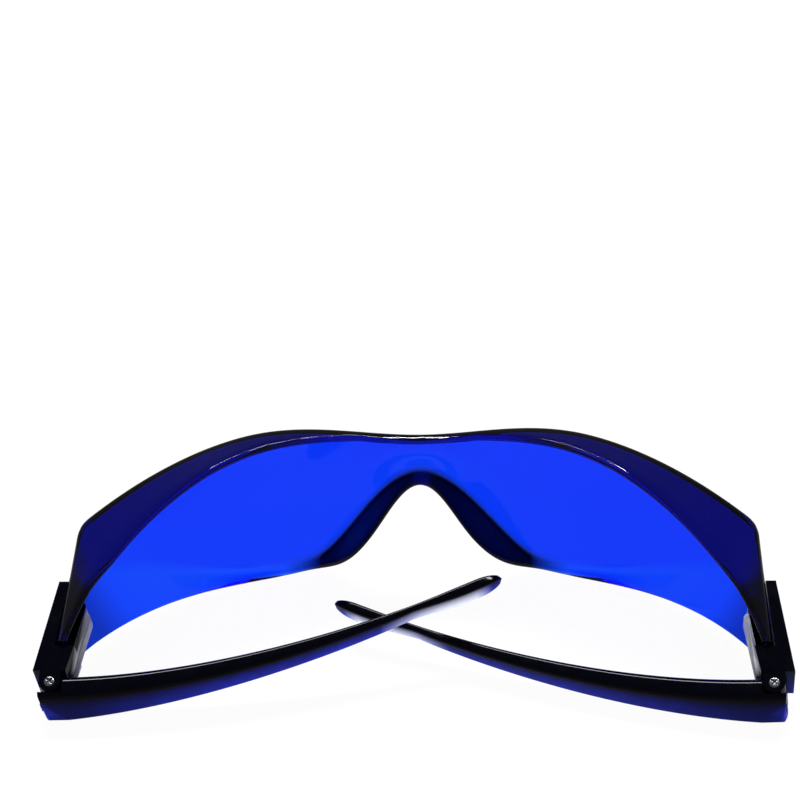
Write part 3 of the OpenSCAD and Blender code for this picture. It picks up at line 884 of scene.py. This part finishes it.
@dataclass
class EndPiece(HingeSide):
    """The block at the wing, with its outer plate, inner jaw, ledge and hinge fork."""

    wing_x: float = 72.6
    corner_x: float = 70.0
    corner_reach: float = 34.8
    wing_end_y: float = 8.6
    wing_end_gap: float = 0.3
    wall: float = 1.6
    tab_gap: float = 0.15
    plate_reach: float = 23.2
    plate_t: float = 2.1
    outer_proud: float = 0.1
    jaw_reach: float = 19.8
    jaw_t: float = 2.2
    jaw_top_z: float = -0.7
    jaw_low_z: float = -6.2
    ledge_t: float = 0.9
    ledge_share: float = 0.48
    bevel: float = 0.8
    tongue_h: float = 2.8
    lug_gap: float = 0.1
    lug_sunk: float = 0.6
    thread_fit: float = 0.02
    edge_r: float = 0.22
    # How strong the painted highlight on the jaw's edge and ledge is, on each side
    left_painted_highlight: float = 0.55
    right_painted_highlight: float = 0.95

    @property
    def rear(self) -> float:
        """Where the block ends, ahead of the hinge."""
        return self.butt_len + self.stop_gap

    def wing_line(self, y: float) -> float:
        """The wing's outer face, seen from above."""
        slope = (self.wing_x - self.corner_x) / (self.corner_reach - self.wing_end_y)
        return self.wing_x - slope * (y - self.wing_end_y)

    def outer_face(self, y: float) -> float:
        """The outer plate's face on the wing."""
        return -self.wing_line(y) - self.tab_gap

    def inner_face(self, y: float) -> float:
        """The inner jaw's face on the wing."""
        return -self.wing_line(y) + self.wall + self.tab_gap

    def jaw_plan(self, proud: float) -> list:
        """The outline of the inner jaw, or of its ledge.

        Args:
            proud: How far the outline stands proud of the jaw, 0 for the jaw itself.

        Returns:
            The outline, with a bevelled tip on the jaw and a round one on the ledge.
        """
        rear, front, run = self.rear + 1, self.jaw_reach - 2 * proud, 2 * self.bevel
        side = self.inner_face(front) + self.jaw_t + proud
        tip = [(side - self.bevel, front), (side, front - run)]
        if proud:
            tip = [(side - proud * (1 - math.cos(a)), front - run * (1 - math.sin(a)))
                   for a in np.radians((86.8, 70.5, 48.2, 27.3, 0))]
        return [(self.inner_face(rear), rear), (self.inner_face(front), front)] + tip + [
            (-self.hinge_x + self.inner_off + proud, rear)]

    def block(self) -> bpy.types.Object:
        """The block between the wing's end and the hinge."""
        front = self.wing_end_y - self.wing_end_gap
        plan = [(self.outer_face(front) - self.plate_t, front), (self.inner_face(front) + self.jaw_t, front),
                (-self.hinge_x + self.inner_off, self.rear),
                (-self.hinge_x - self.outer_off - self.outer_proud, self.rear)]
        return prism(plan, self.block_top_z - self.block_h, self.block_top_z)

    def grips(self) -> list:
        """The outer plate, the inner jaw and its ledge, which hold the wing."""
        front, far = self.wing_end_y - self.wing_end_gap, self.plate_reach
        plate = [(-self.hinge_x - self.outer_off - self.outer_proud, self.rear),
                 (-self.hinge_x, self.rear), (self.outer_face(front), front), (self.outer_face(far), far),
                 (self.outer_face(far) - self.plate_t, far)]
        ledge_z = mix(self.jaw_low_z, self.jaw_top_z, self.ledge_share)
        return [prism(plate, self.block_top_z - self.block_h, self.block_top_z),
                prism(self.jaw_plan(0.0), self.jaw_low_z, self.jaw_top_z),
                prism(self.jaw_plan(self.ledge_t), self.jaw_low_z, ledge_z)]

    def lugs(self) -> list:
        """The two lugs of the hinge fork."""
        tall = (self.block_h - self.tongue_h) / 2 - self.lug_gap
        front = self.rear + self.lug_sunk
        plan = arc(self.lug_r, 180, 360, 33) + [(self.lug_r, front), (-self.lug_r, front)]
        made = [prism(plan, z, z + tall) for z in (-self.block_h / 2, self.block_h / 2 - tall)]
        for lug in made:
            move_points(lug, self.to_hinge)
        return made

    def bores(self) -> list:
        """The cuts for the screw's shank, thread and head."""
        made = [prism(circle(self.screw_r + self.screw_fit), 0, FAR),
                prism(circle(self.screw_r + self.thread_fit), -FAR, 1),
                prism(circle(self.head_r + self.screw_fit), self.head_z, FAR)]
        for bore in made:
            move_points(bore, self.to_hinge)
        return made

    def painted_highlight_share(self, p: np.ndarray) -> np.ndarray:
        """How strong the painted highlight is on the jaw's inner edge and ledge, for each point."""
        edge = np.abs(p[:, 0]) - (self.wing_line(p[:, 1]) - self.wall - self.tab_gap - self.jaw_t)
        low = (p[:, 2] < self.jaw_top_z - 0.25) & (edge < 0.12) & (p[:, 1] > 3.6)
        return np.where(low, self.left_painted_highlight if self.side is Side.LEFT else self.right_painted_highlight, 0.0)

    def build(self, material: bpy.types.Material) -> bpy.types.Object:
        """Builds the end piece.

        Args:
            material: Its finish.

        Returns:
            The piece.
        """
        solid = combine(self.block(), self.grips() + self.lugs(), "UNION")
        combine(solid, self.bores(), "DIFFERENCE")
        bevel_edges(solid, self.edge_r)
        points = points_of(solid)
        # Painted glow on the block's lower part, where light from the table gathers, and a painted highlight
        # on the jaw
        store(solid, "glow", np.clip((-5 - points[:, 2]) / 4, 0, 1) * 0.4)
        store(solid, "painted_highlight", self.painted_highlight_share(points))
        move_points(solid, self.upright)
        self.finish(solid, "end_block", material, "front", "end_piece", "deep_blue_plastic", smooth=False)
        return solid


@dataclass
class Temple(HingeSide):
    """One temple: a swept arm, with a cheek and a heel round the barrel and a tongue between the lugs."""

    length: float = 91.2
    bow: float = 26.0
    root_run: float = 24.5
    root_rise: float = 0.5
    bend_d: float = 58.0
    bend_share: float = 0.39
    start_gap: float = 0.25
    root_t: float = 5.2
    neck_t: float = 1.4
    neck_h: float = 3.8
    neck_d: float = 72.0
    swell: float = 0.8
    paddle_t: float = 2.2
    paddle_h: float = 4.8
    paddle_len: float = 8.0
    tip_from: float = 0.95
    tongue_h: float = 2.8
    cheek_gap: float = 0.15
    heel_round: float = 2.2
    skim: float = 0.05
    edge_r: float = 0.18
    steps: int = 170
    arc_steps: int = 7

    @property
    def start(self) -> float:
        """Where the arm's curve starts, ahead of the hinge."""
        return self.lug_r + self.start_gap

    @property
    def inner(self) -> float:
        """How far inside the hinge axis the arm's inner face starts."""
        return self.root_t - self.outer_off

    def path(self) -> list:
        """The four control points of the arm's inner edge, seen from above."""
        return [(self.start, self.inner, 0), (self.start + self.root_run, self.inner + self.root_rise, 0),
                (self.bend_d, self.bow * self.bend_share, 0), (self.length - 1, self.bow, 0)]

    def height(self, d: float) -> float:
        """The arm's height at a distance from the hinge."""
        if d < self.neck_d:
            return mix(self.block_h, self.neck_h, clamp01(d / self.neck_d))
        spread = (d - self.neck_d) / (self.length - self.paddle_len - self.neck_d)
        return mix(self.neck_h, self.paddle_h, ease(spread))

    def outline(self) -> bpy.types.Object:
        """The arm's rounded four-sided outline.

        Returns:
            A ring whose points hold their shares of the corner radius, thickness and lean, for
            their reach across, and of the corner radius and height, for their rise.
        """
        reach, rise = [], []
        for wide, leans, side, turn in ((1, 0, 1, 0), (0, 0, 1, 90), (0, 0, -1, 180), (1, 1, -1, 270)):
            for a in np.radians(turn + np.linspace(0, 90, self.arc_steps)):
                reach.append((math.cos(a) + 1 - 2 * wide, wide, leans))
                rise.append((math.sin(a) - side, 0.5 * side, 0))
        mesh = bpy.data.meshes.new("outline")
        mesh.from_pydata([(r[0] + 3 * r[1], q[0] + 6 * q[1], 0) for r, q in zip(reach, rise)],
                         [(i, (i + 1) % len(reach)) for i in range(len(reach))], [])
        for name, rows in (("reach", reach), ("rise", rise)):
            layer = mesh.attributes.new(name, "FLOAT_VECTOR", "POINT")
            layer.data.foreach_set("vector", np.ravel(rows))
        obj = bpy.data.objects.new("outline", mesh)
        bpy.context.scene.collection.objects.link(obj)
        return obj

    def sweep(self, material: bpy.types.Material) -> bpy.types.Object:
        """Sweeps the outline along the arm's path.

        Args:
            material: The arm's finish.

        Returns:
            The swept arm, with a straight run behind its root.
        """
        obj, tree = self.outline(), sweep_tree()
        mod = obj.modifiers.new("sweep", "NODES")
        mod.node_group = tree
        start, first, second, end = self.path()
        values = {
            "Start": start, "Start Handle": first, "End Handle": second, "End": end, "Steps": self.steps,
            "Root Thickness": self.root_t, "Neck Thickness": self.neck_t, "Paddle Thickness": self.paddle_t,
            "Root Height": self.block_h, "Neck Height": self.neck_h, "Paddle Height": self.paddle_h,
            "Neck Distance": self.neck_d, "Paddle Distance": self.length - self.paddle_len,
            "Swell": self.swell, "Lean": self.outer_lean, "Butt": self.start + self.butt_len + 0.3,
            "Tip From": self.tip_from, "Material": material}
        for item in tree.interface.items_tree:
            if item.name in values and item.in_out == "INPUT":
                mod[item.identifier] = values[item.name]
        settle(obj)
        for name in ("reach", "rise"):
            obj.data.attributes.remove(obj.data.attributes[name])
        face_outwards(obj.data)
        return obj

    def heel_plan(self, base: float) -> list:
        """An outline on a base line, with a rounded corner behind the hinge."""
        r, x = self.heel_round, -self.butt_len
        return [(FAR, base), (FAR, FAR), (x, FAR)] + arc(r, 180, 270, 11, (x + r, base + r))

    def heels(self) -> list:
        """The two solids that hold the rounded heel, from above and from the side."""
        share = 1 - self.start / self.neck_d
        root = mix(self.neck_t, self.root_t, share ** self.swell) + self.outer_lean * share ** 2
        plan = prism(self.heel_plan(self.inner - root - self.skim), -FAR, FAR)
        side = prism(self.heel_plan(-self.height(self.start) / 2 - self.skim), -FAR, FAR)
        move_points(side, lambda p: np.stack([p[:, 0], -p[:, 2], p[:, 1]], 1))
        return [plan, side]

    def gap(self) -> bpy.types.Object:
        """The room for the barrel, which leaves the cheek outside it."""
        low, front = -self.lug_r - self.cheek_gap, self.start + 2 * self.skim
        return prism([(-FAR, low), (front, low), (front, FAR), (-FAR, FAR)], -FAR, FAR)

    def tongue(self) -> bpy.types.Object:
        """The tongue between the lugs, round about the hinge axis."""
        front, inside, half = self.start + 0.4, self.inner - 0.3, self.tongue_h / 2
        plan = [(front, inside), (0, inside)] + arc(self.lug_r, 90, 180, 17)[1:] + [
            (-self.lug_r, -self.outer_off), (front, -self.outer_off)]
        return prism(plan, -half, half)

    def tones(self, points: np.ndarray) -> tuple:
        """Where the arm gets painted glow and painted highlight.

        Args:
            points: Points drawn about the hinge axis.

        Returns:
            Painted glow and painted highlight for each point.
        """
        x, z = points[:, 0], points[:, 2]
        line = np.array([bezier(self.path(), i / 60) for i in range(61)])
        half = np.array([self.height(d) / 2 for d in x])
        # Shares: towards the outer face, towards the lower edge, and behind the hinge
        outer = np.clip((np.interp(x, line[:, 0], line[:, 1]) - points[:, 1]) / 1.4, 0, 1)
        down = np.clip(0.5 - z / half, 0, 1.5) / 1.5
        # Painted glow also lights the heel's lower part behind the hinge
        butt = np.clip((-0.4 - x) / 1.2, 0, 1) * np.clip(down * 1.4, 0, 1)
        # The painted glow on the lower edge grows along the arm, and is strongest at the tip
        glow = outer * down ** 2 * (0.3 + 0.7 * np.clip((x - 6) / 26, 0, 1))
        tip = np.where(x > mix(self.lug_r, self.length, 0.93), 1.6, 1.0)
        # A painted highlight makes the paddle's lower face pale, up to just before the tip
        paddle = np.clip((x - 66) / 14, 0, 1) * np.clip((88.5 - x) / 3, 0, 1)
        return np.maximum(glow, butt) * tip, outer * paddle * np.clip(0.4 - z / half * 1.4, 0, 1)

    def build(self, material: bpy.types.Material) -> bpy.types.Object:
        """Builds the temple.

        Args:
            material: Its finish.

        Returns:
            The piece.
        """
        solid = self.sweep(material)
        combine(solid, self.heels(), "INTERSECT")
        combine(solid, [self.gap()], "DIFFERENCE")
        combine(solid, [self.tongue()], "UNION")
        combine(solid, [prism(circle(self.screw_r + self.screw_fit), -FAR, FAR)], "DIFFERENCE")
        bevel_edges(solid, self.edge_r, 50)
        glow, painted_highlight = self.tones(points_of(solid))
        store(solid, "glow", glow)
        store(solid, "painted_highlight", painted_highlight)
        move_points(solid, lambda p: self.upright(self.to_hinge(p)))
        self.finish(solid, "arm_piece", material, f"{self.side.word}_arm", "temple", "deep_blue_plastic")
        return solid


@dataclass
class HingeScrew(HingeSide):
    """A low round-headed screw with a cross recess."""

    end_z: float = 0.3
    dome_r: float = 0.35
    recess_w: float = 0.36
    recess_share: float = 0.75
    recess_depth: float = 0.35
    edge_r: float = 0.04

    def build(self, material: bpy.types.Material) -> bpy.types.Object:
        """Builds the screw.

        Args:
            material: Its finish.

        Returns:
            The piece.
        """
        low, top = self.end_z - self.block_h / 2, self.head_z + self.head_h
        profile = [(self.screw_r, low), (self.screw_r, self.head_z), (self.head_r, self.head_z)]
        crown = self.head_r - self.dome_r
        profile += arc(self.dome_r, 0, 80, 5, (crown, top - self.dome_r)) + [(crown, top)]
        rings = [np.array([(x, y, z) for x, y in circle(r)]) for r, z in profile]
        points, (_, _, *faces) = skin(rings)
        # Each end is a fan of faces round a middle point
        n, middle = len(rings[0]), len(points)
        for first, tip in ((0, middle), (middle - n, middle + 1)):
            faces += [[first + i, first + (i + 1) % n, tip] for i in range(n)]
        solid = make_object("screw", np.vstack([points, [(0, 0, low), (0, 0, top)]]), faces)
        half_l, half_w = self.recess_share * self.head_r, self.recess_w / 2
        for turn in (math.radians(45), math.radians(135)):
            c, s = math.cos(turn), math.sin(turn)
            plan = [(c * x - s * y, s * x + c * y) for x, y in (
                (-half_l, -half_w), (half_l, -half_w), (half_l, half_w), (-half_l, half_w))]
            combine(solid, [prism(plan, top - self.recess_depth, FAR)], "DIFFERENCE")
        bevel_edges(solid, self.edge_r)
        move_points(solid, lambda p: self.upright(self.to_hinge(p)))
        self.finish(solid, "screw_piece", material, "front", "hinge_screw", "screw_steel")
        return solid


# The studio
@dataclass
class Studio:
    """Camera, table and lights. The camera's place is in millimetres, and the lamps' in metres."""

    eye_mm: tuple = (47.87, -457.11, 375.28)
    across: tuple = (0.99617, 0.06781, -0.05514)
    upward: tuple = (0.00706, 0.56644, 0.82407)
    backward: tuple = (0.08712, -0.82131, 0.5638)
    focal_px: float = 2832.8
    frame_px: float = 800.0
    sensor_mm: float = 36.0
    table_half: float = 4.0
    sky: float = 0.22

    def camera(self) -> None:
        """Places the camera at the photograph's viewing angle."""
        data = bpy.data.cameras.new("camera")
        data.sensor_width = self.sensor_mm
        data.lens = self.sensor_mm * self.focal_px / self.frame_px
        data.clip_start, data.clip_end = 0.01, 50
        cam = bpy.data.objects.new("camera", data)
        bpy.context.scene.collection.objects.link(cam)
        turn = Matrix((self.across, self.upward, self.backward)).transposed().normalized()
        cam.rotation_mode = "QUATERNION"
        cam.rotation_quaternion = turn.to_quaternion()
        cam.location = [c * MM for c in self.eye_mm]
        bpy.context.scene.camera = cam

    def table(self) -> None:
        """Lays the table under the glasses."""
        half = self.table_half
        corners = np.array([(-half, -half, 0), (half, -half, 0), (half, half, 0), (-half, half, 0)])
        obj = make_object("table", corners, [[0, 1, 2, 3]])
        obj.data.materials.append(WhiteTable().make())

    def lamp(self, name: str, place: tuple, aim: tuple, size: tuple, watts: float,
             mirrored: bool) -> None:
        """Hangs a soft box.

        Args:
            name: The lamp's name.
            place: Where it hangs.
            aim: What it points at.
            size: Its width and height.
            watts: Its power.
            mirrored: Whether glossy faces show it.
        """
        data = bpy.data.lights.new(name, "AREA")
        data.shape, data.size, data.size_y, data.energy = "RECTANGLE", size[0], size[1], watts
        obj = bpy.data.objects.new(name, data)
        obj.location = place
        obj.rotation_euler = (Vector(aim) - Vector(place)).to_track_quat("-Z", "Y").to_euler()
        obj.visible_glossy = mirrored
        bpy.context.scene.collection.objects.link(obj)

    def lights(self) -> None:
        """Sets the soft boxes and the sky, which is white where it is seen and dim on the pieces."""
        self.lamp("top_box", (0.0, 0.35, 0.75), (0, 0.02, 0.02), (0.7, 0.12), 14.0, True)
        self.lamp("left_box", (-0.7, -0.75, 0.5), (0, 0, 0.02), (0.25, 0.4), 3.0, False)
        self.lamp("right_box", (0.75, -0.75, 0.5), (0, 0, 0.02), (0.25, 0.4), 3.0, False)
        world = bpy.data.worlds.new("sky")
        bpy.context.scene.world = world
        world.use_nodes = True
        world.node_tree.nodes.clear()
        add = partial(add_node, world.node_tree)
        ray = add("ShaderNodeLightPath").outputs
        seen = add("ShaderNodeMath", {0: ray["Is Camera Ray"], 1: ray["Is Transmission Ray"]},
                   operation="MAXIMUM")
        dim = add("ShaderNodeBackground", {"Color": (1, 1, 1, 1), "Strength": self.sky})
        plain = add("ShaderNodeBackground", {"Color": (1, 1, 1, 1), "Strength": 1.0})
        both = add("ShaderNodeMixShader", {0: seen, 1: dim, 2: plain})
        add("ShaderNodeOutputWorld", {"Surface": both})
        bpy.context.scene.view_settings.view_transform = "Standard"

    def build(self) -> None:
        """Sets up the whole studio."""
        self.camera()
        self.table()
        self.lights()


def main() -> None:
    """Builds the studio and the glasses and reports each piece."""
    logging.basicConfig(level=logging.INFO)
    Studio().build()
    nylon, steel = DeepBlueNylon().make(), NickelPlatedSteel().make()
    made = [FrontShield().build(TintedPolycarbonate().make())]
    for side in Side:
        made += [EndPiece(side).build(nylon), Temple(side).build(nylon), HingeScrew(side).build(steel)]
    for obj in made:
        log.info("%s: %d faces", obj.name, len(obj.data.polygons))


if __name__ == "__main__":
    main()
